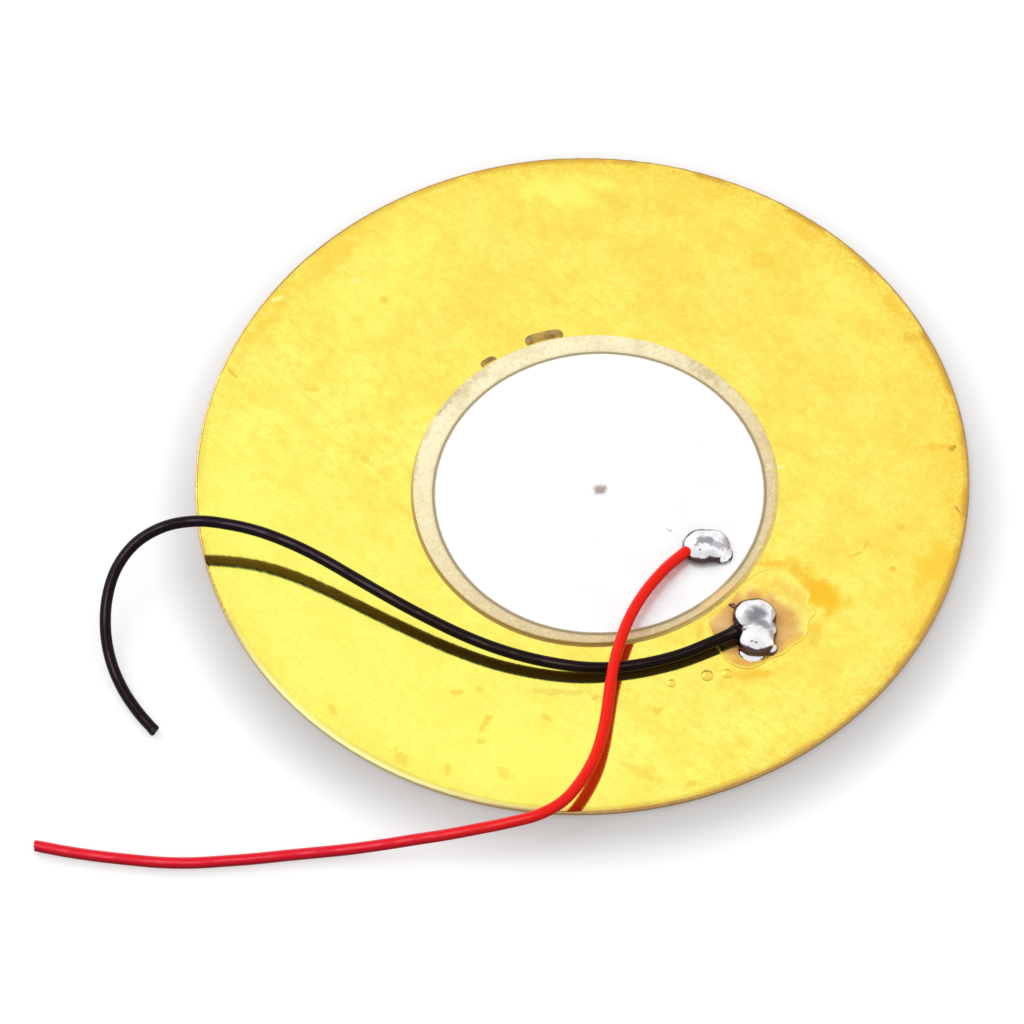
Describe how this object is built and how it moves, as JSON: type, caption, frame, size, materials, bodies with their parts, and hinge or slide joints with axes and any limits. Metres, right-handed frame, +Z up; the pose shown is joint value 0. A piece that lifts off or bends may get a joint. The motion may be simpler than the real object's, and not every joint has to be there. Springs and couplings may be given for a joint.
{
  "type": "piezo disc with soldered leads",
  "caption": "Thin round brass plate with a bonded piezo ceramic wafer, soldered red and black leads and dried flux round the joint on the brass.",
  "frame": {"origin": "centre of the brass plate's underside", "axes": "+Z up through the ceramic, +X and +Y in the plane of the plate, with the cut ends of the leads towards -X"},
  "size_m": [0.0601, 0.0532, 0.0031],
  "materials": {
    "brass": "polished",
    "adhesive": "gloss",
    "silver": "satin",
    "piezo_ceramic": "matte",
    "solder": "gloss",
    "tinned_copper": "satin",
    "red_insulation": "satin",
    "black_insulation": "satin",
    "flux_resin": "gloss"
  },
  "bodies": {
    "root": {"brass_plate": "brass", "adhesive": "adhesive", "lower_electrode": "silver", "ceramic_disc": "piezo_ceramic", "upper_electrode": "silver", "red_solder_joint": "solder", "black_solder_joint": "solder", "red_lead_core": "tinned_copper", "black_lead_core": "tinned_copper", "red_lead": "red_insulation", "black_lead": "black_insulation"}
  },
  "joints": []
}
